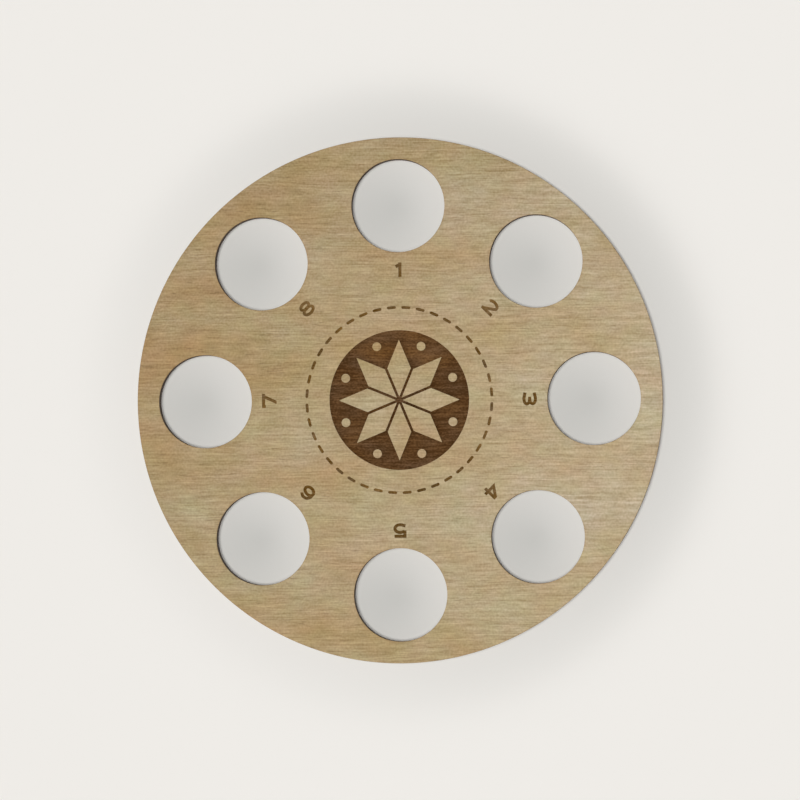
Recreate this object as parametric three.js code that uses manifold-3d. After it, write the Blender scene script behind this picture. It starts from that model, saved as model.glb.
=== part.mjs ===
// Thread organizer: a round laser-cut plywood board with numbered holes for embroidery thread.
// Millimetres. The board lies on its back face: +Z is the front face's normal, +Y points to hole 1.
import * as THREE from 'three';
import { mergeVertices } from 'three/addons/utils/BufferGeometryUtils.js';
import Module from 'manifold-3d';

// Board outline
const discDiameter = 101.6;
const holeCount = 8;
const holeDiameter = 18;
const rimMargin = 4.2; // wood left between a hole and the outer edge

// Plies, from the back face up
const faceVeneerThickness = 0.9;
const glueLineThickness = 0.1;
const coreThickness = 1.2;

// Laser engraving in the front face
const engraveDepth = 0.2;
const digitHeight = 2.82;
const digitWidth = 2.66;
const digitStroke = 0.6;
const digitSpacing = 0.5; // between the digits of a number above 9
const digitGap = 2; // wood between a hole and the top of its number

// Ornament: an eight-point patchwork star on a dark roundel, inside a ring of running stitches
const roundelDiameter = 27;
const starPoints = 8;
const starDiameter = 24.6;
const seamWidth = 0.5;
const dotDiameter = 1.7;
const dotCircleDiameter = 22.4;
const stitchRingGap = 4.4; // from the roundel's edge to the middle of the stitches
const stitchLength = 1.75;
const stitchWidth = 0.55;
const stitchPitch = 2.85;

// Facets
const rimSegments = 112;
const holeSegments = 40;
const roundelSegments = 64;
const dotSegments = 12;
const digitArcSegments = 6; // for each quarter turn of a digit's bow

// Sizes that follow from those above
const discRadius = discDiameter / 2;
const holeRadius = holeDiameter / 2;
const holeCircleRadius = discRadius - rimMargin - holeRadius;
const digitRadius = holeCircleRadius - holeRadius - digitGap - digitHeight / 2;
const roundelRadius = roundelDiameter / 2;
const stitchRingRadius = roundelRadius + stitchRingGap;
const holePitchAngle = (2 * Math.PI) / holeCount;
const cutOverrun = 0.2; // how far an engraving tool stands above the face that it cuts

const wasm = await Module();
wasm.setup();

// Materials

function lightWood() {
  return new THREE.MeshStandardMaterial({ color: 0xb4a07a, roughness: 0.62, metalness: 0 });
}

function coreWood() {
  return new THREE.MeshStandardMaterial({ color: 0xa8885a, roughness: 0.75, metalness: 0 });
}

function curedGlue() {
  return new THREE.MeshStandardMaterial({ color: 0x4a3524, roughness: 0.5, metalness: 0 });
}

// Outlines

function holeAngle(index) {
  // Hole 1 is at the top and the numbers run clockwise.
  return Math.PI / 2 - index * holePitchAngle;
}

function polar(radius, angle) {
  return new THREE.Vector2(radius * Math.cos(angle), radius * Math.sin(angle));
}

function circlePoints(centre, radius, segments) {
  const points = [];
  for (let i = 0; i < segments; i += 1) {
    points.push(polar(radius, (2 * Math.PI * i) / segments).add(centre));
  }
  return points;
}

function boardOutline() {
  const centre = new THREE.Vector2(0, 0);
  const outline = new THREE.Shape(circlePoints(centre, discRadius, rimSegments));
  for (let i = 0; i < holeCount; i += 1) {
    const holeCentre = polar(holeCircleRadius, holeAngle(i));
    outline.holes.push(new THREE.Path(circlePoints(holeCentre, holeRadius, holeSegments)));
  }
  return outline;
}

// Digits. A digit's strokes run on a box from -1 to 1 each way, taken between stroke centres,
// so bowX and bowY turn box units into millimetres.

const halfStroke = digitStroke / 2;
const bowX = (digitWidth - digitStroke) / 2;
const bowY = (digitHeight - digitStroke) / 2;

function bow(x, y, radiusX, radiusY, startDegrees, endDegrees) {
  // Points of an elliptical arc in box units, turned into millimetres.
  const quarters = Math.abs(endDegrees - startDegrees) / 90;
  const steps = Math.ceil(quarters * digitArcSegments);
  const points = [];
  for (let i = 0; i <= steps; i += 1) {
    const angle = THREE.MathUtils.degToRad(startDegrees + ((endDegrees - startDegrees) * i) / steps);
    points.push(new THREE.Vector2(
      (x + radiusX * Math.cos(angle)) * bowX,
      (y + radiusY * Math.sin(angle)) * bowY,
    ));
  }
  return points;
}

function at(x, y) {
  return new THREE.Vector2(x * bowX, y * bowY);
}

function strokeAlong(points) {
  // A stroke of even width that follows a smooth run of points and ends square.
  const left = [];
  const right = [];
  points.forEach((point, i) => {
    const before = points[Math.max(i - 1, 0)];
    const after = points[Math.min(i + 1, points.length - 1)];
    const along = after.clone().sub(before).normalize();
    const side = new THREE.Vector2(-along.y, along.x).multiplyScalar(halfStroke);
    left.push(point.clone().add(side));
    right.push(point.clone().sub(side));
  });
  return new THREE.Shape([...left, ...right.reverse()]);
}

function barBetween(x0, y0, x1, y1) {
  // A straight bar that runs half a stroke past both of its ends, to fill the corners there.
  const start = at(x0, y0);
  const end = at(x1, y1);
  const run = end.clone().sub(start).setLength(halfStroke);
  return strokeAlong([start.sub(run), end.add(run)]);
}

function slantBetween(x0, y0, x1, y1) {
  // A bar that slants up to the right and is cut off level at both ends. Its lower left and upper
  // right corners are those of square strokes centred on the two points.
  const lowLeft = at(x0, y0).subScalar(halfStroke);
  const highRight = at(x1, y1).addScalar(halfStroke);
  const across = highRight.x - lowLeft.x;
  const rise = highRight.y - lowLeft.y;
  const reach = Math.sqrt(across ** 2 + rise ** 2 - digitStroke ** 2);
  const levelWidth = (digitStroke * (rise * reach - digitStroke * across)) / (rise ** 2 - digitStroke ** 2);
  const level = new THREE.Vector2(levelWidth, 0);
  return new THREE.Shape([
    lowLeft,
    lowLeft.clone().add(level),
    highRight,
    highRight.clone().sub(level),
  ]);
}

function closedBow(x, y, radiusX, radiusY) {
  // A closed oval stroke.
  const centre = at(x, y);
  const oval = (offset) => circlePoints(new THREE.Vector2(0, 0), 1, 4 * digitArcSegments)
    .map((point) => new THREE.Vector2(
      centre.x + point.x * (radiusX * bowX + offset),
      centre.y + point.y * (radiusY * bowY + offset),
    ));
  const shape = new THREE.Shape(oval(halfStroke));
  shape.holes.push(new THREE.Path(oval(-halfStroke)));
  return shape;
}

const digitStrokes = {
  0: () => [
    closedBow(0, 0, 0.95, 1),
  ],
  1: () => [
    barBetween(0.3, -1, 0.3, 1),
    strokeAlong([at(0.3, 0.92), at(-0.5, 0.52)]),
  ],
  2: () => [
    strokeAlong([...bow(0.02, 0.45, 1.01, 0.55, 160, -38), at(-0.88, -0.97)]),
    barBetween(-1, -1, 1.02, -1),
  ],
  3: () => [
    strokeAlong([at(-1.18, 0.78), ...bow(0, 0.5, 0.9, 0.5, 110, -90)]),
    strokeAlong([...bow(0, -0.5, 0.95, 0.5, 90, -110), at(-1.2, -0.8)]),
    strokeAlong([at(-0.4, 0), at(0.05, 0)]),
  ],
  4: () => [
    barBetween(0.5, -1, 0.5, 1),
    slantBetween(-1.2, -0.5, 0.5, 1),
    barBetween(-0.75, -0.5, 1, -0.5),
  ],
  5: () => [
    barBetween(-0.88, 1, 0.78, 1),
    barBetween(-0.88, 1, -0.88, 0.25),
    strokeAlong([...bow(0, -0.33, 0.98, 0.67, 142, -112), at(-0.98, -0.78)]),
  ],
  6: () => [
    closedBow(0.04, -0.38, 0.95, 0.62),
    strokeAlong(bow(0.1, 0, 1.02, 1, 40, 200)),
  ],
  7: () => [
    barBetween(-1, 1, 1.07, 1),
    strokeAlong([at(-1, 1), at(-1, 0.62)]),
    slantBetween(-0.28, -1, 1.07, 1),
  ],
  8: () => [
    closedBow(0.05, 0.52, 0.9, 0.48),
    closedBow(0.05, -0.46, 1.03, 0.54),
  ],
  9: () => [
    closedBow(-0.04, 0.38, 0.95, 0.62),
    strokeAlong(bow(-0.1, 0, 1.02, 1, 20, -140)),
  ],
};

// Ornament

function diamondPoints(index) {
  // One of the star's equal diamonds, drawn in by half a seam all round.
  const halfAngle = Math.PI / starPoints;
  const side = starDiameter / 2 / (2 * Math.cos(halfAngle));
  const inset = seamWidth / 2;
  const nearTip = inset / Math.sin(halfAngle);
  const middle = side * Math.cos(halfAngle);
  const halfWidth = side * Math.sin(halfAngle) - inset / Math.cos(halfAngle);
  const farTip = 2 * middle - nearTip;
  const turn = 2 * index * halfAngle + Math.PI / 2;
  return [[nearTip, 0], [middle, -halfWidth], [farTip, 0], [middle, halfWidth]]
    .map(([x, y]) => new THREE.Vector2(x, y).rotateAround(new THREE.Vector2(0, 0), turn));
}

function roundelOutline() {
  // The dark ground of the ornament: diamonds and dots stay at the height of the face.
  const centre = new THREE.Vector2(0, 0);
  const outline = new THREE.Shape(circlePoints(centre, roundelRadius, roundelSegments));
  for (let i = 0; i < starPoints; i += 1) {
    outline.holes.push(new THREE.Path(diamondPoints(i)));
    const betweenTips = ((2 * i + 1) * Math.PI) / starPoints + Math.PI / 2;
    const dotCentre = polar(dotCircleDiameter / 2, betweenTips);
    outline.holes.push(new THREE.Path(circlePoints(dotCentre, dotDiameter / 2, dotSegments)));
  }
  return outline;
}

function stitchOutlines() {
  // A whole number of stitches for each hole, so that the ring has the holes' symmetry.
  const perHole = Math.max(1, Math.round(
    (2 * Math.PI * stitchRingRadius) / (stitchPitch * holeCount),
  ));
  const count = perHole * holeCount;
  const outlines = [];
  for (let i = 0; i < count; i += 1) {
    const angle = (2 * Math.PI * (i + 0.5)) / count;
    const middle = polar(stitchRingRadius, angle);
    const run = polar(stitchLength / 2, angle + Math.PI / 2);
    const side = polar(stitchWidth / 2, angle);
    outlines.push(new THREE.Shape([
      middle.clone().sub(run).sub(side),
      middle.clone().sub(run).add(side),
      middle.clone().add(run).add(side),
      middle.clone().add(run).sub(side),
    ]));
  }
  return outlines;
}

// Solids

function plate(outline, thickness) {
  return new THREE.ExtrudeGeometry(outline, { depth: thickness, bevelEnabled: false });
}

function toSolid(geometry) {
  const bare = geometry.clone();
  bare.deleteAttribute('normal');
  bare.deleteAttribute('uv');
  const merged = mergeVertices(bare);
  return new wasm.Manifold(new wasm.Mesh({
    numProp: 3,
    vertProperties: new Float32Array(merged.attributes.position.array),
    triVerts: new Uint32Array(merged.index.array),
  }));
}

function toGeometry(solid) {
  const mesh = solid.getMesh();
  const geometry = new THREE.BufferGeometry();
  geometry.setAttribute('position', new THREE.BufferAttribute(mesh.vertProperties, 3));
  geometry.setIndex(new THREE.BufferAttribute(mesh.triVerts, 1));
  geometry.computeVertexNormals();
  return geometry;
}

function engravingTool(outline, place) {
  // A prism that reaches engraveDepth below the front veneer's face.
  const tool = plate(outline, engraveDepth + cutOverrun);
  tool.translate(0, 0, faceVeneerThickness - engraveDepth);
  tool.applyMatrix4(place);
  return toSolid(tool);
}

function numberTools(index) {
  // A hole's number stands upright below its hole, with its top towards the hole.
  const digits = String(index + 1).split('');
  const angle = holeAngle(index);
  const centre = polar(digitRadius, angle);
  const numberPlace = new THREE.Matrix4().makeRotationZ(angle - Math.PI / 2);
  numberPlace.setPosition(centre.x, centre.y, 0);
  const tools = [];
  digits.forEach((digit, i) => {
    const shift = (i - (digits.length - 1) / 2) * (digitWidth + digitSpacing);
    const place = numberPlace.clone().multiply(new THREE.Matrix4().makeTranslation(shift, 0, 0));
    for (const outline of digitStrokes[digit]()) {
      tools.push(engravingTool(outline, place));
    }
  });
  return tools;
}

function engravedFrontVeneer() {
  const centred = new THREE.Matrix4();
  const tools = [engravingTool(roundelOutline(), centred)];
  for (const outline of stitchOutlines()) {
    tools.push(engravingTool(outline, centred));
  }
  for (let i = 0; i < holeCount; i += 1) {
    tools.push(...numberTools(i));
  }
  const engraving = tools.reduce((joined, tool) => joined.add(tool));
  return toGeometry(toSolid(plate(boardOutline(), faceVeneerThickness)).subtract(engraving));
}

// Assembly: the layers lie face to face, from the back veneer up.

function layer(name, geometry, material, height) {
  const mesh = new THREE.Mesh(geometry, material);
  mesh.name = name;
  mesh.position.z = height;
  return mesh;
}

function buildBoard() {
  const backGlueHeight = faceVeneerThickness;
  const coreHeight = backGlueHeight + glueLineThickness;
  const frontGlueHeight = coreHeight + coreThickness;
  const frontHeight = frontGlueHeight + glueLineThickness;
  const outline = boardOutline();
  const board = new THREE.Group();
  board.add(layer('back_veneer', plate(outline, faceVeneerThickness), lightWood(), 0));
  board.add(layer('back_glue_line', plate(outline, glueLineThickness), curedGlue(), backGlueHeight));
  board.add(layer('core_ply', plate(outline, coreThickness), coreWood(), coreHeight));
  board.add(layer('front_glue_line', plate(outline, glueLineThickness), curedGlue(), frontGlueHeight));
  board.add(layer('front_veneer', engravedFrontVeneer(), lightWood(), frontHeight));
  return board;
}

export default buildBoard();
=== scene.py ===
import math

import bmesh
import bpy
from mathutils import Matrix, Vector


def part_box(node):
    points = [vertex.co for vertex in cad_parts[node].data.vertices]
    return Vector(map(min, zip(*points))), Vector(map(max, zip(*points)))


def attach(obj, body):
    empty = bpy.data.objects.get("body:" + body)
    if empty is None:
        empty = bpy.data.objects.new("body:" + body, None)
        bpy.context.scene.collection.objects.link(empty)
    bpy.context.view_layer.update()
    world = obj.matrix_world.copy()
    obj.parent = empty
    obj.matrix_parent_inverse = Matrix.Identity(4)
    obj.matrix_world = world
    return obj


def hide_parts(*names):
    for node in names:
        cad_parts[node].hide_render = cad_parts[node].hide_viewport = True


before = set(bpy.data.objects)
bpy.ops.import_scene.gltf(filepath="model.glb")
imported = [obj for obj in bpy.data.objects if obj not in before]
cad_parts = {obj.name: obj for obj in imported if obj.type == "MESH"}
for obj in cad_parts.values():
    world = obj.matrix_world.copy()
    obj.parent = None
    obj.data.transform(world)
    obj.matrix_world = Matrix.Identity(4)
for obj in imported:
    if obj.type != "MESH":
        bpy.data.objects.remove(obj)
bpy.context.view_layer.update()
mm = 0.001

# Thread organizer: a round plywood board, laser cut and laser engraved. It lies on its back face,
# +Z is the engraved face and +Y points to hole 1. The layers' heights come from the CAD nodes.

board = {
    "holeCount": 8,
    "holeDiameter": 18.0 * mm,
    "rimMargin": 4.2 * mm,        # wood between a hole and the outer edge
    "faceRound": 0.07 * mm,       # burned corner of the two outer faces
    "innerRound": 0.012 * mm,     # tiny corner of each inner layer
    "glueRecess": 0.025 * mm,     # the glue burns back a little further than the wood
    "rimPoints": 720,
    "holePoints": 200,
    "roundSteps": 3,
}

frontLow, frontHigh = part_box("front_veneer")
backLow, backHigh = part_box("back_veneer")
coreLow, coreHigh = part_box("core_ply")
discRadius = frontHigh.x
topFace = frontHigh.z
holeRadius = board["holeDiameter"] / 2
holeCircleRadius = discRadius - board["rimMargin"] - holeRadius


# Node building: a Wire is one socket in a Python expression, a Sheet adds nodes to one tree.

class Wire:
    def __init__(self, sheet, socket):
        self.sheet = sheet
        self.socket = socket

    def math(self, operation, *values):
        return self.sheet.math(operation, self, *values)

    def __add__(self, other):
        return self.math("ADD", other)

    __radd__ = __add__

    def __sub__(self, other):
        return self.math("SUBTRACT", other)

    def __rsub__(self, other):
        return self.sheet.math("SUBTRACT", other, self)

    def __mul__(self, other):
        return self.math("MULTIPLY", other)

    __rmul__ = __mul__

    def __truediv__(self, other):
        return self.math("DIVIDE", other)

    def __rtruediv__(self, other):
        return self.sheet.math("DIVIDE", other, self)

    def __neg__(self):
        return self.math("MULTIPLY", -1.0)

    def __pow__(self, other):
        return self.math("POWER", other)


class Sheet:
    def __init__(self, tree):
        self.tree = tree

    def plug(self, socket, value):
        if isinstance(value, Wire):
            self.tree.links.new(value.socket, socket)
        elif isinstance(value, bpy.types.NodeSocket):
            self.tree.links.new(value, socket)
        elif socket.type == "RGBA":
            socket.default_value = (*value, 1.0)
        else:
            socket.default_value = value

    def add(self, kind, settings=None, sockets=None):
        node = self.tree.nodes.new(kind)
        for name, value in (settings or {}).items():
            if name == "stops":
                self.setStops(node.color_ramp, value)
            else:
                setattr(node, name, value)
        for name, value in (sockets or {}).items():
            self.plug(node.inputs[name], value)
        return node

    def setStops(self, ramp, stops):
        for i, (place, colour) in enumerate(stops):
            element = ramp.elements[i] if i < 2 else ramp.elements.new(place)
            element.position = place
            element.color = (*colour, 1.0)

    def wire(self, node, output=0):
        return Wire(self, node.outputs[output])

    def math(self, operation, *values):
        return self.wire(self.add("ShaderNodeMath", {"operation": operation}, dict(enumerate(values))))

    def vector(self, operation, *values):
        return self.wire(self.add("ShaderNodeVectorMath", {"operation": operation}, dict(enumerate(values))))

    def length(self, vector):
        return self.wire(self.add("ShaderNodeVectorMath", {"operation": "LENGTH"}, {0: vector}), 1)

    def combine(self, x, y, z):
        return self.wire(self.add("ShaderNodeCombineXYZ", None, {"X": x, "Y": y, "Z": z}))

    def separate(self, vector):
        node = self.add("ShaderNodeSeparateXYZ", None, {"Vector": vector})
        return self.wire(node, 0), self.wire(node, 1), self.wire(node, 2)

    def scaled(self, vector, x, y, z):
        # The vector divided by a size in each direction: the size of a pattern's features.
        return self.vector("DIVIDE", vector, (x, y, z))

    def noise(self, vector, detail=2.0, roughness=0.5, distortion=0.0):
        return self.wire(self.add("ShaderNodeTexNoise", {"noise_dimensions": "3D"}, {
            "Vector": vector, "Scale": 1.0, "Detail": detail, "Roughness": roughness,
            "Distortion": distortion,
        }))

    def ramp(self, value, low, high):
        # 0 below low, 1 above high, smooth in between.
        return self.wire(self.add("ShaderNodeMapRange", {"interpolation_type": "SMOOTHSTEP"}, {
            "Value": value, "From Min": low, "From Max": high, "To Min": 0.0, "To Max": 1.0,
        }))

    def mix(self, factor, first, second, blend="MIX"):
        node = self.add("ShaderNodeMix", {"data_type": "RGBA", "blend_type": blend})
        self.plug(node.inputs["Factor"], factor)
        self.plug(node.inputs[6], first)
        self.plug(node.inputs[7], second)
        return self.wire(node, 2)

    def times(self, vector, value):
        # A vector or a colour times a number.
        return self.vector("MULTIPLY", vector, self.combine(value, value, value))

    def toned(self, colour, amount, weights):
        # A colour made lighter or darker, with its own weight for red, green and blue.
        red, green, blue = (amount * weight + 1.0 for weight in weights)
        return self.vector("MULTIPLY", colour, self.combine(red, green, blue))


def linear(red, green, blue):
    # A colour written as 0 to 255 screen values, as the linear colour that a shader takes.
    parts = []
    for part in (red, green, blue):
        share = part / 255
        parts.append(share / 12.92 if share <= 0.04045 else ((share + 0.055) / 1.055) ** 2.4)
    return tuple(parts)


# Materials. Patterns are laid out in millimetres on the board, with the face grain along X.

veneer = {
    "base": linear(171, 150, 113),
    "patterns": {                     # size along the grain, across it and upwards, then strength
        "speck": ((0.4, 0.46, 3.0), 0.40),
        "fleck": ((1.2, 0.2, 3.0), 0.30),
        "fibre": ((3.2, 0.46, 3.0), 0.46),
        "grainLine": ((14.0, 0.2, 3.0), 0.46),
        "tint": ((2.0, 1.5, 3.0), 0.07),
        "cloud": ((8.0, 6.0, 9.0), 0.19),
        "patch": ((34.0, 12.0, 9.0), 0.31),
        "blush": ((4.0, 3.0, 9.0), 0.075),
        "wideBlush": ((34.0, 10.0, 9.0), 0.06),
    },
    "evenTone": (0.87, 1.0, 1.34),    # how strongly red, green and blue follow plain light and dark
    "goldenTone": (0.38, 1.0, 2.0),   # a darker, more golden patch
    "blushTone": (1.0, -0.46, 1.5),   # a pinker patch
    "tintTone": (-0.7, 0.0, 1.0),     # redder or bluer spots
    "paintedSideLightTone": (0.65, 1.0, 1.66),    # partly painted light: paler towards +X, together with a shift of the wood's hue
    "paintedSideLightFade": 0.0036,               # by how much for each millimetre
    "paintedEndShade": (0.0011, 0.000028),    # painted shade: darker towards +Y, and towards both ends
    "leftHalf": (-30.0, 10.0),        # where the patches and pores get weaker towards +X
    "leftPatches": 0.4,
    "bend": (34.0, 9.0, 40.0),        # the slow waves in the grain
    "waviness": 2.4,
    "roughness": 0.60,
}

pores = {
    "colour": linear(104, 80, 48),
    "size": (2.6, 0.2, 2.0),
    "areas": (16.0, 5.0, 9.0),        # the areas that hold more of them
    "gathering": 0.16,
    "strength": 0.20,
    "leftStrength": 0.20,             # more on the left half
}

scorch = {
    "colour": linear(128, 88, 44),
    "patches": (2.4, 1.2, 3.0),
    "reach": (0.12, 0.9),             # least reach from an edge in millimetres, and how much it varies
    "strength": 0.22,
}

engraving = {
    "ground": linear(90, 60, 28),     # the star's dark ground
    "line": linear(123, 94, 54),      # numbers and stitches, burned more lightly, and partly painted light against the shade in their narrow grooves
    "patterns": {
        "speck": ((0.45, 0.3, 3.0), 1.3),
        "fleck": ((1.6, 0.28, 3.0), 0.9),
        "fibre": ((5.0, 0.3, 3.0), 1.2),
        "band": ((18.0, 2.2, 3.0), 0.45),
        "mottle": ((7.0, 5.0, 5.0), 1.2),
        "warmth": ((6.0, 3.0, 5.0), 0.9),
    },
    "evenTone": (0.80, 1.0, 1.75),
    "warmTone": (-0.3, 0.0, 1.3),     # patches that turn more or less golden
    "groundContrast": 1.12,
    "lineContrast": 0.6,
    "scanPitch": 0.12,                # between two passes of the beam, in millimetres
    "scanShade": 0.1,
    "scanWobble": 0.6,
    "roughness": 0.85,
}

burn = {
    "veneer": linear(46, 33, 24),
    "core": linear(62, 44, 30),
    "glue": linear(20, 15, 12),
    "ash": linear(96, 74, 54),
    "streak": (0.11, 0.11, 4.0),      # soot drawn through the thickness by the beam
    "slow": (4.0, 4.0, 2.0),
    "smear": (0.8, 0.8, 0.35),
    "sideGrain": (6.0, 6.0, 0.09),    # fine lines where the cut runs along the grain
    "endGrain": (0.13, 0.13, 0.13),   # open pores where it runs across
    "ashShare": 0.6,
    "streakShade": 0.5,               # how much the streaks and the grain lighten the wall
    "grainShade": 0.65,
    "endDarkening": 0.15,
    "fade": 0.05,                     # millimetres over which the burn gives way to an outer face
    "ragged": 0.04,
    "roughness": 0.80,
}


def newMaterial(name):
    material = bpy.data.materials.new(name)
    material.use_nodes = True
    material.node_tree.nodes.clear()
    sheet = Sheet(material.node_tree)
    shader = sheet.add("ShaderNodeBsdfPrincipled")
    output = sheet.add("ShaderNodeOutputMaterial")
    sheet.plug(output.inputs["Surface"], shader.outputs[0])
    return material, sheet, shader


def millimetres(sheet):
    coordinates = sheet.add("ShaderNodeTexCoord")
    return sheet.vector("MULTIPLY", coordinates.outputs["Object"], (1000.0, 1000.0, 1000.0))


def grainField(sheet, place, shift):
    # Bends the board's own coordinates a little, so that the fibres run in slow waves.
    moved = sheet.vector("ADD", place, shift)
    bend = sheet.noise(sheet.scaled(moved, *veneer["bend"]), 1.0) - 0.5
    x, y, z = sheet.separate(moved)
    return sheet.combine(x, y + bend * veneer["waviness"], z)


def patternsOf(sheet, place, table):
    # Every pattern of a table as a field around zero, each from its own stretch of the noise.
    fields = []
    for i, (size, strength) in enumerate(table.values()):
        moved = sheet.vector("ADD", place, (61.0 * i, 37.0 * i, 5.0 * i))
        fields.append((sheet.noise(sheet.scaled(moved, *size), 0.0) - 0.5) * strength)
    return fields


def fromNearestHole(sheet, flat):
    # The way from the nearest hole's centre to a point of the board, in millimetres.
    x, y, z = sheet.separate(flat)
    step = 2 * math.pi / board["holeCount"]
    turn = sheet.math("ROUND", (sheet.math("ARCTAN2", y, x) - math.pi / 2) / step)
    angle = turn * step + math.pi / 2
    circle = holeCircleRadius / mm
    centre = sheet.combine(sheet.math("COSINE", angle) * circle, sheet.math("SINE", angle) * circle, 0.0)
    return sheet.vector("SUBTRACT", flat, centre)


def edgeDistance(sheet, place):
    # Millimetres from a point of the board to the nearest hole or to the rim.
    flat = sheet.vector("MULTIPLY", place, (1.0, 1.0, 0.0))
    toHole = sheet.length(fromNearestHole(sheet, flat)) - holeRadius / mm
    return toHole.math("MINIMUM", discRadius / mm - sheet.length(flat))


def wallFacing(sheet, place):
    # The level direction that a cut wall faces, on the rim or in a hole.
    flat = sheet.vector("MULTIPLY", place, (1.0, 1.0, 0.0))
    betweenHoleAndRim = (discRadius - board["rimMargin"] / 2) / mm
    onRim = sheet.math("GREATER_THAN", sheet.length(flat), betweenHoleAndRim)
    return sheet.vector("NORMALIZE", sheet.mix(onRim, fromNearestHole(sheet, flat), flat))


def veneerLook(sheet, place, shift):
    # Returns the colour and the height of a sanded, straight-grained light veneer.
    grain = grainField(sheet, place, shift)
    speck, fleck, fibre, grainLine, tint, cloud, patch, blush, wideBlush = patternsOf(
        sheet, grain, veneer["patterns"])
    x, y, z = sheet.separate(place)
    onLeft = 1.0 - sheet.ramp(x, *veneer["leftHalf"])
    patches = (cloud + patch) * (onLeft * veneer["leftPatches"] + 1.0)
    # Painted shade: the face is made darker towards +Y and towards both ends along Y.
    endSlope, endCurve = veneer["paintedEndShade"]
    tone = speck + fleck + fibre + grainLine - y * endSlope - y * y * endCurve
    # Partly painted light: the face is made paler towards +X, a painted fall of light together with a change
    # of the wood's hue.
    colour = sheet.toned(veneer["base"], x * veneer["paintedSideLightFade"], veneer["paintedSideLightTone"])
    colour = sheet.toned(colour, patches, veneer["goldenTone"])
    colour = sheet.toned(colour, blush + wideBlush, veneer["blushTone"])
    colour = sheet.toned(colour, tint, veneer["tintTone"])
    colour = sheet.toned(colour, tone, veneer["evenTone"])

    # Open pores: short dark runs that gather in some areas.
    moved = sheet.vector("ADD", grain, (13.0, 57.0, 2.0))
    poreRun = sheet.noise(sheet.scaled(moved, *pores["size"]), 1.0)
    poreArea = sheet.noise(sheet.scaled(grain, *pores["areas"]), 1.0)
    pore = sheet.ramp(poreRun + (poreArea - 0.5) * pores["gathering"], 0.64, 0.76)
    colour = sheet.mix(pore * (pores["strength"] + onLeft * pores["leftStrength"]), colour, pores["colour"])

    # Scorch: a patchy brown edge beside each cut.
    patchy = sheet.noise(sheet.scaled(place, *scorch["patches"]), 2.0, 0.6)
    leastReach, moreReach = scorch["reach"]
    reach = sheet.ramp(patchy, 0.42, 0.72) * moreReach + leastReach
    nearCut = 1.0 - sheet.ramp(edgeDistance(sheet, place) / reach, 0.0, 1.0)
    colour = sheet.mix(nearCut * scorch["strength"], colour, scorch["colour"])
    height = fleck * 1.7 + fibre * 0.65 + grainLine - pore * 0.6
    return colour, height


def bumpOn(sheet, shader, height, distance, strength=1.0):
    bump = sheet.add("ShaderNodeBump", None, {
        "Height": height, "Distance": distance, "Strength": strength,
    })
    sheet.plug(shader.inputs["Normal"], bump.outputs[0])


def veneerFaceMaterial(name, shift):
    material, sheet, shader = newMaterial(name)
    colour, height = veneerLook(sheet, millimetres(sheet), shift)
    sheet.plug(shader.inputs["Base Color"], colour)
    sheet.plug(shader.inputs["Roughness"], veneer["roughness"] + height * 0.08)
    shader.inputs["Specular IOR Level"].default_value = 0.28
    bumpOn(sheet, shader, height, 0.03 * mm)
    return material


def burnedLook(sheet, place, base, grainAxis):
    # Colour and height of a laser-cut wall of one layer, whose grain runs along X (0) or Y (1).
    streak = sheet.noise(sheet.scaled(place, *burn["streak"]), 3.0, 0.6)
    slow = sheet.noise(sheet.scaled(place, *burn["slow"]), 2.0, 0.5)
    smear = sheet.noise(sheet.scaled(place, *burn["smear"]), 3.0, 0.6)
    sideGrain = sheet.noise(sheet.scaled(place, *burn["sideGrain"]), 2.0, 0.6)
    endGrain = sheet.noise(sheet.scaled(place, *burn["endGrain"]), 1.0)
    acrossGrain = sheet.separate(wallFacing(sheet, place))[grainAxis].math("ABSOLUTE")
    onEnd = sheet.ramp(acrossGrain, 0.5, 0.9)
    grain = endGrain * onEnd + sideGrain * (1.0 - onEnd)
    ashen = sheet.ramp(smear + (slow - 0.5) * 0.5, 0.52, 0.82)
    colour = sheet.mix(ashen * burn["ashShare"], base, burn["ash"])
    shade = 0.50 + streak * burn["streakShade"] + grain * burn["grainShade"] - onEnd * burn["endDarkening"]
    return sheet.times(colour, shade), streak * 0.5 + grain * 0.5


def burnedEdgeMaterial(name, base, grainAxis, faceShift=None, faceHeight=0.0, faceSign=1.0):
    # The wall of one layer. Where it meets an outer face, the burn fades into the clean wood.
    material, sheet, shader = newMaterial(name)
    place = millimetres(sheet)
    colour, relief = burnedLook(sheet, place, base, grainAxis)
    if faceShift is not None:
        x, y, z = sheet.separate(place)
        depth = (faceHeight / mm - z) * faceSign
        ragged = sheet.noise(sheet.scaled(place, 0.5, 0.5, 0.5), 2.0, 0.6) * burn["ragged"]
        clean, cleanHeight = veneerLook(sheet, place, faceShift)
        colour = sheet.mix(sheet.ramp(depth - ragged, 0.0, burn["fade"]), clean, colour)
    sheet.plug(shader.inputs["Base Color"], colour)
    sheet.plug(shader.inputs["Roughness"], burn["roughness"] - relief * 0.15)
    shader.inputs["Specular IOR Level"].default_value = 0.25
    bumpOn(sheet, shader, relief, 0.03 * mm)
    return material


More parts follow.
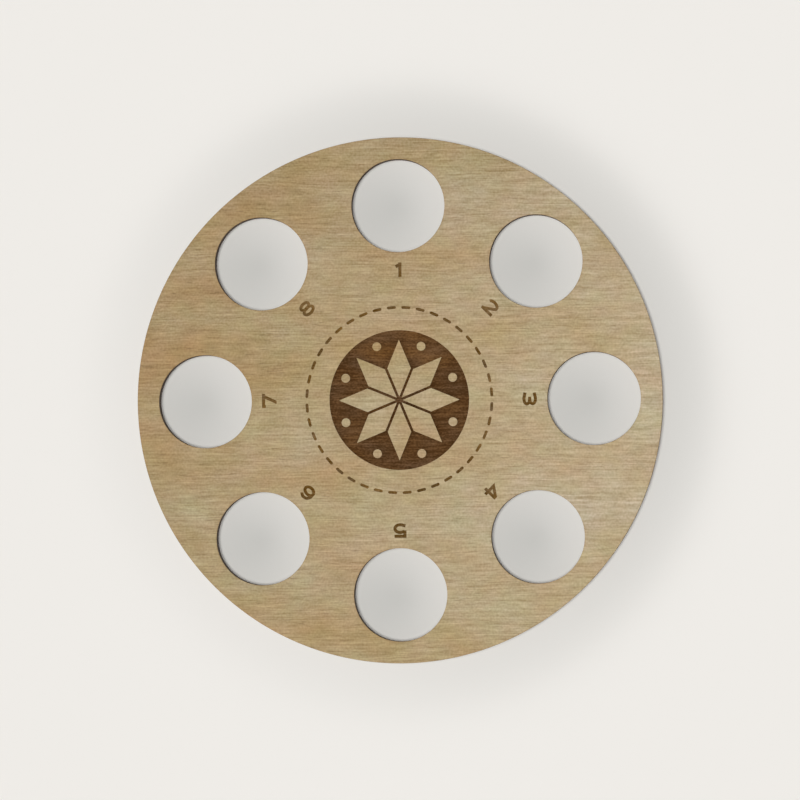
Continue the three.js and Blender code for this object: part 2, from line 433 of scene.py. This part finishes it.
def engravedMaterial(name, base, contrast):
    # Raster-burned floor: brown, with the grain showing through and the beam's close passes.
    material, sheet, shader = newMaterial(name)
    place = millimetres(sheet)
    grain = grainField(sheet, place, frontShift)
    speck, fleck, fibre, band, mottle, warmth = patternsOf(sheet, grain, engraving["patterns"])
    x, y, z = sheet.separate(place)
    wobble = sheet.noise(sheet.scaled(place, 3.0, 0.3, 3.0), 1.0) * engraving["scanWobble"]
    passes = sheet.math("SINE", (y / engraving["scanPitch"] + wobble) * (2 * math.pi)) * 0.5
    tone = (speck + fleck + fibre + band + mottle) * contrast + passes * engraving["scanShade"]
    colour = sheet.toned(base, tone.math("MAXIMUM", -0.5), engraving["evenTone"])
    colour = sheet.toned(colour, warmth, engraving["warmTone"])
    sheet.plug(shader.inputs["Base Color"], colour)
    sheet.plug(shader.inputs["Roughness"], engraving["roughness"] - fibre * 0.08)
    shader.inputs["Specular IOR Level"].default_value = 0.2
    bumpOn(sheet, shader, passes * 0.6 + fibre * 0.7, 0.03 * mm)
    return material


def innerFaceMaterial(name, base):
    # The bonded faces between the layers, seen only if the board is taken apart.
    material, sheet, shader = newMaterial(name)
    place = millimetres(sheet)
    acrossGrain = sheet.noise(sheet.scaled(place, 0.3, 8.0, 3.0), 3.0, 0.6)
    sheet.plug(shader.inputs["Base Color"], sheet.times(base, 0.75 + acrossGrain * 0.5))
    shader.inputs["Roughness"].default_value = 0.7
    return material


frontShift = (0.0, 0.0, 0.0)
backShift = (140.0, 75.0, 31.0)
materials = {
    "frontFace": veneerFaceMaterial("front_face_wood", frontShift),
    "backFace": veneerFaceMaterial("back_face_wood", backShift),
    "frontEdge": burnedEdgeMaterial("front_burned_edge", burn["veneer"], 0, frontShift, topFace, 1.0),
    "backEdge": burnedEdgeMaterial("back_burned_edge", burn["veneer"], 0, backShift, backLow.z, -1.0),
    "coreEdge": burnedEdgeMaterial("core_burned_edge", burn["core"], 1),
    "glueEdge": burnedEdgeMaterial("glue_burned_edge", burn["glue"], 0),
    "coreFace": innerFaceMaterial("core_face_wood", linear(172, 142, 100)),
    "glueFace": innerFaceMaterial("glue_face", linear(84, 62, 44)),
    "ground": engravedMaterial("engraved_ground", engraving["ground"], engraving["groundContrast"]),
    # The numbers and stitches take a lighter colour, partly painted light that offsets the shade in their
    # narrow grooves.
    "line": engravedMaterial("engraved_line", engraving["line"], engraving["lineContrast"]),
}
print("materials made:", len(materials))


# The board's layers: one Geometry Nodes tree lays a round plate with a ring of holes.

def openTree(name, inputs):
    tree = bpy.data.node_groups.new(name, "GeometryNodeTree")
    for label, kind in inputs:
        tree.interface.new_socket(label, in_out="INPUT", socket_type=kind)
    tree.interface.new_socket("Mesh", in_out="OUTPUT", socket_type="NodeSocketGeometry")
    sheet = Sheet(tree)
    source = sheet.add("NodeGroupInput")
    given = {label: sheet.wire(source, label) for label, kind in inputs}
    return tree, sheet, given


def closeTree(sheet, geometry):
    output = sheet.add("NodeGroupOutput")
    sheet.plug(output.inputs[0], geometry)


def joined(sheet, parts):
    node = sheet.add("GeometryNodeJoinGeometry")
    for part in parts:
        sheet.plug(node.inputs[0], part)
    return sheet.wire(node)


def flatSheet(sheet, given, inset, height):
    # The plate's outline and holes, drawn in by inset and filled at one height.
    rim = sheet.add("GeometryNodeCurvePrimitiveCircle", None, {
        "Resolution": given["Rim Points"], "Radius": given["Disc Radius"] - inset,
    })
    hole = sheet.add("GeometryNodeCurvePrimitiveCircle", None, {
        "Resolution": given["Hole Points"], "Radius": given["Hole Radius"] + inset,
    })
    centres = sheet.add("GeometryNodeMeshCircle", None, {
        "Vertices": given["Hole Count"], "Radius": given["Hole Circle Radius"],
    })
    turned = sheet.add("GeometryNodeTransform", None, {
        "Geometry": centres.outputs[0], "Rotation": (0.0, 0.0, math.pi / 2),
    })
    holes = sheet.add("GeometryNodeInstanceOnPoints", None, {
        "Points": turned.outputs[0], "Instance": hole.outputs[0],
    })
    realHoles = sheet.add("GeometryNodeRealizeInstances", None, {"Geometry": holes.outputs[0]})
    filled = sheet.add("GeometryNodeFillCurve", None, {
        "Curve": joined(sheet, [sheet.wire(rim), sheet.wire(realHoles)]),
    })
    raised = sheet.add("GeometryNodeTransform", None, {
        "Geometry": filled.outputs[0], "Translation": sheet.combine(0.0, 0.0, height),
    })
    return sheet.wire(raised)


def outwardField(sheet, given):
    # At a point of an outline, the flat direction that leads out of the wood.
    position = sheet.add("GeometryNodeInputPosition")
    flat = sheet.vector("MULTIPLY", position.outputs[0], (1.0, 1.0, 0.0))
    fromMiddle = sheet.length(flat)
    x, y, z = sheet.separate(flat)
    step = (2 * math.pi) / given["Hole Count"].math("MAXIMUM", 1.0)
    turn = sheet.math("ROUND", (sheet.math("ARCTAN2", y, x) - math.pi / 2) / step)
    angle = turn * step + math.pi / 2
    circle = given["Hole Circle Radius"]
    centre = sheet.combine(sheet.math("COSINE", angle) * circle, sheet.math("SINE", angle) * circle, 0.0)
    intoHole = sheet.vector("NORMALIZE", sheet.vector("SUBTRACT", centre, flat))
    awayFromMiddle = sheet.vector("NORMALIZE", flat)
    farthestHole = circle + given["Hole Radius"] * 1.1
    onRim = sheet.math("GREATER_THAN", fromMiddle, farthestHole)
    return sheet.vector("ADD", sheet.times(awayFromMiddle, onRim), sheet.times(intoHole, 1.0 - onRim))


def wallStep(sheet, geometry, outward, spread, rise):
    # One more ring of wall: the open edge is doubled, and its copy moves out and up.
    neighbours = sheet.add("GeometryNodeInputMeshEdgeNeighbors")
    openEdge = sheet.add("FunctionNodeCompare", {"data_type": "INT", "operation": "EQUAL"})
    sheet.plug(openEdge.inputs[2], neighbours.outputs[0])
    sheet.plug(openEdge.inputs[3], 1)
    extruded = sheet.add("GeometryNodeExtrudeMesh", {"mode": "EDGES"}, {
        "Mesh": geometry, "Selection": openEdge.outputs[0], "Offset Scale": 0.0,
    })
    moved = sheet.add("GeometryNodeSetPosition", None, {
        "Geometry": extruded.outputs["Mesh"], "Selection": extruded.outputs["Top"],
        "Offset": sheet.vector("ADD", sheet.times(outward, spread), sheet.combine(0.0, 0.0, rise)),
    })
    return sheet.wire(moved)


def roundedCorner(sheet, geometry, outward, radius, steps, opening):
    # A quarter-round of wall in a repeat zone. It opens outwards at the top, and closes below.
    start = sheet.add("GeometryNodeRepeatInput", None, {"Iterations": steps})
    end = sheet.add("GeometryNodeRepeatOutput")
    start.pair_with_output(end)
    sheet.plug(start.inputs["Geometry"], geometry)
    turnStep = (math.pi / 2) / steps
    before = sheet.wire(start, "Iteration") * turnStep
    after = before + turnStep
    sineStep = sheet.math("SINE", after) - sheet.math("SINE", before)
    cosineStep = sheet.math("COSINE", after) - sheet.math("COSINE", before)
    if opening:
        spread = sineStep * radius
        rise = cosineStep * radius
    else:
        spread = cosineStep * radius
        rise = -(sineStep * radius)
    ring = wallStep(sheet, sheet.wire(start, "Geometry"), outward, spread, rise)
    sheet.plug(end.inputs["Geometry"], ring)
    return sheet.wire(end, "Geometry")


def layerTree():
    tree, sheet, given = openTree("plywood_layer", [
        ("Disc Radius", "NodeSocketFloat"), ("Hole Count", "NodeSocketInt"),
        ("Hole Radius", "NodeSocketFloat"), ("Hole Circle Radius", "NodeSocketFloat"),
        ("Bottom", "NodeSocketFloat"), ("Top", "NodeSocketFloat"),
        ("Bottom Round", "NodeSocketFloat"), ("Top Round", "NodeSocketFloat"),
        ("Round Steps", "NodeSocketInt"), ("Rim Points", "NodeSocketInt"),
        ("Hole Points", "NodeSocketInt"), ("Face Material", "NodeSocketMaterial"),
        ("Edge Material", "NodeSocketMaterial"),
    ])
    upper = flatSheet(sheet, given, given["Top Round"], given["Top"])
    stored = sheet.add("GeometryNodeStoreNamedAttribute", {"data_type": "FLOAT_VECTOR", "domain": "POINT"}, {
        "Geometry": upper, "Name": "outward", "Value": outwardField(sheet, given),
    })
    outward = sheet.wire(sheet.add("GeometryNodeInputNamedAttribute", {"data_type": "FLOAT_VECTOR"}, {
        "Name": "outward",
    }))
    steps = given["Round Steps"]
    wall = roundedCorner(sheet, sheet.wire(stored), outward, given["Top Round"], steps, True)
    drop = given["Top"] - given["Bottom"] - given["Top Round"] - given["Bottom Round"]
    wall = wallStep(sheet, wall, outward, 0.0, -drop)
    wall = roundedCorner(sheet, wall, outward, given["Bottom Round"], steps, False)
    lower = flatSheet(sheet, given, given["Bottom Round"], given["Bottom"])
    turnedOver = sheet.add("GeometryNodeFlipFaces", None, {"Mesh": lower})
    merged = sheet.add("GeometryNodeMergeByDistance", None, {
        "Geometry": joined(sheet, [wall, sheet.wire(turnedOver)]), "Distance": 0.0005 * mm,
    })
    cleaned = sheet.add("GeometryNodeRemoveAttribute", None, {
        "Geometry": merged.outputs[0], "Name": "outward",
    })
    normal = sheet.add("GeometryNodeInputNormal")
    upright = sheet.separate(sheet.wire(normal, "True Normal"))[2].math("ABSOLUTE")
    isFlat = sheet.math("GREATER_THAN", upright, 0.995)
    shaded = sheet.add("GeometryNodeSetShadeSmooth", None, {
        "Geometry": cleaned.outputs[0], "Shade Smooth": 1.0 - isFlat,
    })
    edged = sheet.add("GeometryNodeSetMaterial", None, {
        "Geometry": shaded.outputs[0], "Material": given["Edge Material"],
    })
    faced = sheet.add("GeometryNodeSetMaterial", None, {
        "Geometry": edged.outputs[0], "Selection": isFlat, "Material": given["Face Material"],
    })
    closeTree(sheet, faced.outputs[0])
    return tree


def meshFromTree(name, tree, values):
    # Runs a tree on an empty mesh and keeps the result as a plain mesh object.
    carrier = bpy.data.objects.new(name + "_carrier", bpy.data.meshes.new(name + "_carrier"))
    bpy.context.scene.collection.objects.link(carrier)
    modifier = carrier.modifiers.new("nodes", "NODES")
    modifier.node_group = tree
    for item in tree.interface.items_tree:
        if item.in_out == "INPUT" and item.name in values:
            modifier[item.identifier] = values[item.name]
    evaluated = carrier.evaluated_get(bpy.context.evaluated_depsgraph_get())
    mesh = bpy.data.meshes.new_from_object(evaluated)
    mesh.name = name
    if mesh.materials[0] is None:
        mesh.materials.pop(index=0)
    result = bpy.data.objects.new(name, mesh)
    bpy.context.scene.collection.objects.link(result)
    bpy.data.objects.remove(carrier)
    return result


plywoodLayer = layerTree()


def makeLayer(name, low, high, bottomRound, topRound, recess, face, edge):
    return meshFromTree(name, plywoodLayer, {
        "Disc Radius": discRadius - recess,
        "Hole Count": board["holeCount"],
        "Hole Radius": holeRadius + recess,
        "Hole Circle Radius": holeCircleRadius,
        "Bottom": low,
        "Top": high,
        "Bottom Round": bottomRound,
        "Top Round": topRound,
        "Round Steps": board["roundSteps"],
        "Rim Points": board["rimPoints"],
        "Hole Points": board["holePoints"],
        "Face Material": materials[face],
        "Edge Material": materials[edge],
    })


inner = board["innerRound"]
outer = board["faceRound"]
setBack = board["glueRecess"]
frontVeneer = makeLayer("birch_front", frontLow.z, frontHigh.z, inner, outer, 0.0, "frontFace", "frontEdge")
frontGlue = makeLayer("front_glue", coreHigh.z, frontLow.z, 0.0, 0.0, setBack, "glueFace", "glueEdge")
core = makeLayer("cross_core", coreLow.z, coreHigh.z, inner, inner, 0.0, "coreFace", "coreEdge")
backGlue = makeLayer("back_glue", backHigh.z, coreLow.z, 0.0, 0.0, setBack, "glueFace", "glueEdge")
backVeneer = makeLayer("birch_back", backLow.z, backHigh.z, outer, inner, 0.0, "backFace", "backEdge")
print("layers laid:", len(frontVeneer.data.polygons), "faces in the front one")


# Engraving tools: closed prisms that are sunk into the front veneer.

cut = {
    "depth": 0.2 * mm,
    "overrun": 0.2 * mm,
    "digitHeight": 2.82 * mm,
    "digitWidth": 2.66 * mm,
    "digitStroke": 0.6 * mm,
    "digitGap": 2.0 * mm,
    "arcSteps": 20,               # for each quarter turn of a digit's bow
    "tinyEdge": 0.002 * mm,       # edges below this are closed up once everything is cut
}

ornament = {
    "roundelDiameter": 27.0 * mm,
    "roundelPoints": 256,
    "starDiameter": 24.6 * mm,
    "starPoints": 8,
    "seamWidth": 0.5 * mm,
    "dotDiameter": 1.7 * mm,
    "dotCircleDiameter": 22.4 * mm,
    "stitchRingGap": 4.4 * mm,
    "stitchLength": 1.75 * mm,
    "stitchWidth": 0.55 * mm,
    "stitchPitch": 2.85 * mm,
}

halfStroke = cut["digitStroke"] / 2
bowX = (cut["digitWidth"] - cut["digitStroke"]) / 2
bowY = (cut["digitHeight"] - cut["digitStroke"]) / 2
digitRadius = holeCircleRadius - holeRadius - cut["digitGap"] - cut["digitHeight"] / 2


# A digit's strokes run on a box from -1 to 1 each way, taken between stroke centres.

def at(x, y):
    return Vector((x * bowX, y * bowY))


def bow(x, y, radiusX, radiusY, startDegrees, endDegrees):
    steps = math.ceil(abs(endDegrees - startDegrees) / 90 * cut["arcSteps"])
    points = []
    for i in range(steps + 1):
        angle = math.radians(startDegrees + (endDegrees - startDegrees) * i / steps)
        points.append(at(x + radiusX * math.cos(angle), y + radiusY * math.sin(angle)))
    return points


def strokeAlong(points):
    # The outline of a stroke of even width that ends square.
    left = []
    right = []
    for i, point in enumerate(points):
        along = (points[min(i + 1, len(points) - 1)] - points[max(i - 1, 0)]).normalized()
        side = Vector((-along.y, along.x)) * halfStroke
        left.append(point + side)
        right.append(point - side)
    return [left + right[::-1]]


def barBetween(x0, y0, x1, y1):
    start, end = at(x0, y0), at(x1, y1)
    run = (end - start).normalized() * halfStroke
    return strokeAlong([start - run, end + run])


def slantBetween(x0, y0, x1, y1):
    # A bar that slants up to the right, cut off level at both ends.
    stroke = cut["digitStroke"]
    lowLeft = at(x0, y0) - Vector((halfStroke, halfStroke))
    highRight = at(x1, y1) + Vector((halfStroke, halfStroke))
    across, rise = highRight - lowLeft
    reach = math.sqrt(across ** 2 + rise ** 2 - stroke ** 2)
    level = Vector((stroke * (rise * reach - stroke * across) / (rise ** 2 - stroke ** 2), 0.0))
    return [[lowLeft, lowLeft + level, highRight, highRight - level]]


def closedBow(x, y, radiusX, radiusY):
    # Two outlines: the outer edge of an oval stroke, then its inner edge.
    centre = at(x, y)
    rings = []
    for offset in (halfStroke, -halfStroke):
        ring = []
        for i in range(4 * cut["arcSteps"]):
            angle = math.pi / 2 * i / cut["arcSteps"]
            ring.append(centre + Vector((math.cos(angle) * (radiusX * bowX + offset),
                                         math.sin(angle) * (radiusY * bowY + offset))))
        rings.append(ring)
    return rings


digitStrokes = {
    1: [barBetween(0.3, -1, 0.3, 1), strokeAlong([at(0.3, 0.92), at(-0.5, 0.52)])],
    2: [strokeAlong(bow(0.02, 0.45, 1.01, 0.55, 160, -38) + [at(-0.88, -0.97)]),
        barBetween(-1, -1, 1.02, -1)],
    3: [strokeAlong([at(-1.18, 0.78)] + bow(0, 0.5, 0.9, 0.5, 110, -90)),
        strokeAlong(bow(0, -0.5, 0.95, 0.5, 90, -110) + [at(-1.2, -0.8)]),
        strokeAlong([at(-0.4, 0), at(0.05, 0)])],
    4: [barBetween(0.5, -1, 0.5, 1), slantBetween(-1.2, -0.5, 0.5, 1), barBetween(-0.75, -0.5, 1, -0.5)],
    5: [barBetween(-0.88, 1, 0.78, 1), barBetween(-0.88, 1, -0.88, 0.25),
        strokeAlong(bow(0, -0.33, 0.98, 0.67, 142, -112) + [at(-0.98, -0.78)])],
    6: [closedBow(0.04, -0.38, 0.95, 0.62), strokeAlong(bow(0.1, 0, 1.02, 1, 40, 200))],
    7: [barBetween(-1, 1, 1.07, 1), strokeAlong([at(-1, 1), at(-1, 0.62)]),
        slantBetween(-0.28, -1, 1.07, 1)],
    8: [closedBow(0.05, 0.52, 0.9, 0.48), closedBow(0.05, -0.46, 1.03, 0.54)],
}


def prism(name, outlines, turn=0.0, place=(0.0, 0.0)):
    # A closed prism on one outline, or on an outer and an inner one, from the floor to above the face.
    floor = topFace - cut["depth"]
    roof = topFace + cut["overrun"]
    shape = bmesh.new()
    rings = []
    for outline in outlines:
        rings.append([
            [shape.verts.new((*point, height)) for point in outline] for height in (floor, roof)
        ])
    for lower, upper in rings:
        for i in range(len(lower)):
            k = (i + 1) % len(lower)
            shape.faces.new((lower[i], lower[k], upper[k], upper[i]))
    for level in (0, 1):
        if len(rings) == 1:
            shape.faces.new(rings[0][level])
        else:
            outerRing, innerRing = rings[0][level], rings[1][level]
            for i in range(len(outerRing)):
                k = (i + 1) % len(outerRing)
                shape.faces.new((outerRing[i], outerRing[k], innerRing[k], innerRing[i]))
    bmesh.ops.recalc_face_normals(shape, faces=shape.faces)
    shape.transform(Matrix.Translation((*place, 0.0)) @ Matrix.Rotation(turn, 4, "Z"))
    mesh = bpy.data.meshes.new(name)
    shape.to_mesh(mesh)
    shape.free()
    mesh.materials.append(materials["line"])
    tool = bpy.data.objects.new(name, mesh)
    bpy.context.scene.collection.objects.link(tool)
    return tool


def combine(target, tool, operation):
    # Joins or cuts two closed meshes, keeps the result on target and removes the tool.
    modifier = target.modifiers.new("boolean", "BOOLEAN")
    modifier.object = tool
    modifier.operation = operation
    modifier.solver = "EXACT"
    modifier.material_mode = "TRANSFER"
    evaluated = target.evaluated_get(bpy.context.evaluated_depsgraph_get())
    mesh = bpy.data.meshes.new_from_object(evaluated)
    mesh.name = target.data.name
    target.modifiers.remove(modifier)
    target.data = mesh
    bpy.data.objects.remove(tool)


def withoutTinyEdges(mesh, limit):
    # Closes up the slivers that crossing cuts leave, and drops the bare edges that remain of them.
    shape = bmesh.new()
    shape.from_mesh(mesh)
    bmesh.ops.dissolve_degenerate(shape, dist=limit, edges=shape.edges)
    bare = [edge for edge in shape.edges if not edge.link_faces]
    bmesh.ops.delete(shape, geom=bare, context="EDGES")
    shape.to_mesh(mesh)
    shape.free()


def digitTools():
    tools = []
    for i in range(board["holeCount"]):
        angle = math.pi / 2 - i * 2 * math.pi / board["holeCount"]
        place = (digitRadius * math.cos(angle), digitRadius * math.sin(angle))
        strokes = []
        for outlines in digitStrokes[i + 1]:
            strokes.append(prism("digit_tool", outlines, angle - math.pi / 2, place))
        for extra in strokes[1:]:
            combine(strokes[0], extra, "UNION")
        tools.append(strokes[0])
    return tools


def prismBetween(sheet, outline, material):
    # In a tree: fills flat outlines and gives them the height of an engraving tool.
    filled = sheet.add("GeometryNodeFillCurve", {"mode": "TRIANGLES"}, {"Curve": outline})
    low = sheet.add("GeometryNodeTransform", None, {
        "Geometry": filled.outputs[0], "Translation": (0.0, 0.0, topFace - cut["depth"]),
    })
    raised = sheet.add("GeometryNodeExtrudeMesh", {"mode": "FACES"}, {
        "Mesh": low.outputs[0], "Offset": (0.0, 0.0, 1.0), "Offset Scale": cut["depth"] + cut["overrun"],
        "Individual": False,
    })
    under = sheet.add("GeometryNodeFlipFaces", None, {"Mesh": low.outputs[0]})
    closed = sheet.add("GeometryNodeMergeByDistance", None, {
        "Geometry": joined(sheet, [sheet.wire(raised), sheet.wire(under)]), "Distance": 0.002 * mm,
    })
    painted = sheet.add("GeometryNodeSetMaterial", None, {
        "Geometry": closed.outputs[0], "Material": material,
    })
    return sheet.wire(painted)


def around(sheet, instance, count, radius, startAngle):
    # Copies of a curve on a circle, each turned to face outwards.
    ring = sheet.add("GeometryNodeMeshCircle", None, {"Vertices": count, "Radius": radius})
    turned = sheet.add("GeometryNodeTransform", None, {
        "Geometry": ring.outputs[0], "Rotation": (0.0, 0.0, startAngle),
    })
    position = sheet.add("GeometryNodeInputPosition")
    facing = sheet.add("FunctionNodeAlignRotationToVector", {"axis": "X", "pivot_axis": "Z"}, {
        "Vector": position.outputs[0],
    })
    copies = sheet.add("GeometryNodeInstanceOnPoints", None, {
        "Points": turned.outputs[0], "Instance": instance, "Rotation": facing.outputs[0],
    })
    real = sheet.add("GeometryNodeRealizeInstances", None, {"Geometry": copies.outputs[0]})
    return sheet.wire(real)


def stitchTree():
    # A ring of running stitches: round-ended dashes, evenly spaced.
    tree, sheet, given = openTree("stitch_ring", [
        ("Ring Radius", "NodeSocketFloat"), ("Count", "NodeSocketInt"),
        ("Stitch Length", "NodeSocketFloat"), ("Stitch Width", "NodeSocketFloat"),
    ])
    box = sheet.add("GeometryNodeCurvePrimitiveQuadrilateral", None, {
        "Width": given["Stitch Width"], "Height": given["Stitch Length"],
    })
    rounded = sheet.add("GeometryNodeFilletCurve", {"mode": "POLY"}, {
        "Curve": box.outputs[0], "Radius": given["Stitch Width"] * 0.499, "Count": 8,
    })
    ring = around(sheet, rounded.outputs[0], given["Count"], given["Ring Radius"], math.pi / 40)
    closeTree(sheet, prismBetween(sheet, ring, materials["line"]))
    return tree


def starTree():
    # A dark roundel that leaves a star of equal diamonds and a ring of dots at face height.
    tree, sheet, given = openTree("star_roundel", [
        ("Roundel Radius", "NodeSocketFloat"), ("Roundel Points", "NodeSocketInt"),
        ("Points", "NodeSocketInt"), ("Star Radius", "NodeSocketFloat"), ("Seam", "NodeSocketFloat"),
        ("Dot Radius", "NodeSocketFloat"), ("Dot Circle Radius", "NodeSocketFloat"),
    ])
    roundel = sheet.add("GeometryNodeCurvePrimitiveCircle", None, {
        "Resolution": given["Roundel Points"], "Radius": given["Roundel Radius"],
    })
    halfAngle = math.pi / given["Points"].math("MAXIMUM", 1.0)
    sine = sheet.math("SINE", halfAngle)
    cosine = sheet.math("COSINE", halfAngle)
    side = given["Star Radius"] / (cosine * 2.0)
    inset = given["Seam"] * 0.5
    nearTip = inset / sine
    middle = side * cosine
    halfWidth = side * sine - inset / cosine
    farTip = middle * 2.0 - nearTip
    diamond = sheet.add("GeometryNodeCurvePrimitiveQuadrilateral", {"mode": "POINTS"}, {
        "Point 1": sheet.combine(nearTip, 0.0, 0.0), "Point 2": sheet.combine(middle, -halfWidth, 0.0),
        "Point 3": sheet.combine(farTip, 0.0, 0.0), "Point 4": sheet.combine(middle, halfWidth, 0.0),
    })
    # The diamonds are drawn from the middle, so the ring that carries them has almost no radius.
    diamonds = around(sheet, diamond.outputs[0], given["Points"], 1e-6 * mm, math.pi / 2)
    dot = sheet.add("GeometryNodeCurvePrimitiveCircle", None, {
        "Resolution": 40, "Radius": given["Dot Radius"],
    })
    dots = around(sheet, dot.outputs[0], given["Points"], given["Dot Circle Radius"], math.pi / 8)
    outline = joined(sheet, [sheet.wire(roundel), diamonds, dots])
    closeTree(sheet, prismBetween(sheet, outline, materials["ground"]))
    return tree


roundelRadius = ornament["roundelDiameter"] / 2
stitchRingRadius = roundelRadius + ornament["stitchRingGap"]
perHole = round(2 * math.pi * stitchRingRadius / (ornament["stitchPitch"] * board["holeCount"]))

tools = digitTools()
tools.append(meshFromTree("stitch_tool", stitchTree(), {
    "Ring Radius": stitchRingRadius,
    "Count": perHole * board["holeCount"],
    "Stitch Length": ornament["stitchLength"],
    "Stitch Width": ornament["stitchWidth"],
}))
tools.append(meshFromTree("star_tool", starTree(), {
    "Roundel Radius": roundelRadius,
    "Roundel Points": ornament["roundelPoints"],
    "Points": ornament["starPoints"],
    "Star Radius": ornament["starDiameter"] / 2,
    "Seam": ornament["seamWidth"],
    "Dot Radius": ornament["dotDiameter"] / 2,
    "Dot Circle Radius": ornament["dotCircleDiameter"] / 2,
}))
for tool in tools:
    combine(frontVeneer, tool, "DIFFERENCE")
withoutTinyEdges(frontVeneer.data, cut["tinyEdge"])
print("engraving cut:", len(frontVeneer.data.polygons), "faces")


# Each finished layer rides on the board's one body and stands for its CAD node.

for piece, node, slot in (
    (frontVeneer, "front_veneer", "face_wood"),
    (frontGlue, "front_glue_line", "glue"),
    (core, "core_ply", "core_wood"),
    (backGlue, "back_glue_line", "glue"),
    (backVeneer, "back_veneer", "face_wood"),
):
    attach(piece, "root")
    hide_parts(node)
print("layers stand for the CAD nodes")


# Stage, light and camera

stage = {
    "backdrop": linear(239, 236, 231),
    "floorSize": 8.0,
    "floorDrop": 0.02 * mm,       # keeps the floor clear of the board's back face
    "sunShare": 0.62,             # each share is of the light that reaches level ground
    "sunElevation": 86.0,
    "sunSpread": 16.0,
    "skyShare": 0.01,
    "bandShare": 0.37,            # a soft ring of light near the horizon
    "bandHeight": 0.242,          # the sine of its elevation
    "bandWidth": 0.135,
    "bandLean": 0.8,              # how much brighter it is where the light comes from
    "bandColour": (1.02, 0.99, 1.0),
    "sunColour": (0.988, 1.006, 1.0),
    "fromDirection": 208.0,       # degrees from +X: the lower left
}

view = {
    "distance": 0.9,
    "offCentre": (0.058, -0.023),
    "aim": (0.00014, 0.0),
    "frameWidth": 0.15447,        # what the picture's width covers at the board's face
    "roll": 0.42,                 # degrees
    "sensor": 36.0,
}


def makeFloor():
    half = stage["floorSize"] / 2
    mesh = bpy.data.meshes.new("floor")
    corners = [(-half, -half), (half, -half), (half, half), (-half, half)]
    mesh.from_pydata([(x, y, -stage["floorDrop"]) for x, y in corners], [], [(0, 1, 2, 3)])
    floor = bpy.data.objects.new("floor", mesh)
    bpy.context.scene.collection.objects.link(floor)
    material = bpy.data.materials.new("floor_paint")
    material.use_nodes = True
    material.node_tree.nodes.clear()
    sheet = Sheet(material.node_tree)
    diffuse = sheet.add("ShaderNodeBsdfDiffuse", None, {"Color": stage["backdrop"]})
    output = sheet.add("ShaderNodeOutputMaterial")
    sheet.plug(output.inputs["Surface"], diffuse.outputs[0])
    mesh.materials.append(material)


def makeSun():
    elevation = math.radians(stage["sunElevation"])
    azimuth = math.radians(stage["fromDirection"])
    light = bpy.data.lights.new("soft_sun", "SUN")
    light.energy = stage["sunShare"] * math.pi / math.sin(elevation)
    light.angle = math.radians(stage["sunSpread"])
    light.color = stage["sunColour"]
    sun = bpy.data.objects.new("soft_sun", light)
    bpy.context.scene.collection.objects.link(sun)
    flat = math.cos(elevation)
    towards = Vector((math.cos(azimuth) * flat, math.sin(azimuth) * flat, math.sin(elevation)))
    sun.rotation_euler = towards.to_track_quat("Z", "Y").to_euler()


def makeWorld():
    world = bpy.data.worlds.new("studio")
    bpy.context.scene.world = world
    world.use_nodes = True
    world.node_tree.nodes.clear()
    sheet = Sheet(world.node_tree)
    path = sheet.add("ShaderNodeLightPath")
    seen = sheet.wire(path, "Is Camera Ray")
    seen = seen.math("MAXIMUM", sheet.wire(path, "Is Glossy Ray"))
    seen = seen.math("MAXIMUM", sheet.wire(path, "Is Transmission Ray"))
    direction = sheet.add("ShaderNodeTexCoord").outputs["Generated"]
    x, y, z = sheet.separate(direction)
    azimuth = math.radians(stage["fromDirection"])
    nearBand = 1.0 - sheet.math("ABSOLUTE", z - stage["bandHeight"]) / stage["bandWidth"]
    lean = 1.0 + (x * math.cos(azimuth) + y * math.sin(azimuth)) * stage["bandLean"]
    peak = stage["bandShare"] / (2 * stage["bandHeight"] * stage["bandWidth"])
    light = sheet.add("ShaderNodeBackground", None, {
        "Color": stage["bandColour"],
        "Strength": nearBand.math("MAXIMUM", 0.0) * lean * peak + stage["skyShare"],
    })
    backdrop = sheet.add("ShaderNodeBackground", None, {"Color": stage["backdrop"], "Strength": 1.0})
    chosen = sheet.add("ShaderNodeMixShader", None, {0: seen, 1: light.outputs[0], 2: backdrop.outputs[0]})
    output = sheet.add("ShaderNodeOutputWorld")
    sheet.plug(output.inputs["Surface"], chosen.outputs[0])


def makeCamera():
    camera = bpy.data.objects.new("camera", bpy.data.cameras.new("camera"))
    bpy.context.scene.collection.objects.link(camera)
    target = Vector((*view["aim"], topFace))
    eye = Vector((*view["offCentre"], topFace + view["distance"]))
    back = (eye - target).normalized()
    roll = math.radians(view["roll"])
    right = Vector((math.sin(roll), math.cos(roll), 0.0)).cross(back).normalized()
    turn = Matrix((right, back.cross(right), back)).transposed()
    camera.matrix_world = Matrix.Translation(eye) @ turn.to_4x4()
    camera.data.sensor_width = view["sensor"]
    camera.data.lens = view["sensor"] * (eye - target).length / view["frameWidth"]
    camera.data.clip_start = 0.01
    camera.data.clip_end = 50.0
    bpy.context.scene.camera = camera


makeFloor()
makeSun()
makeWorld()
makeCamera()
bpy.context.scene.view_settings.view_transform = "Standard"
print("stage set")
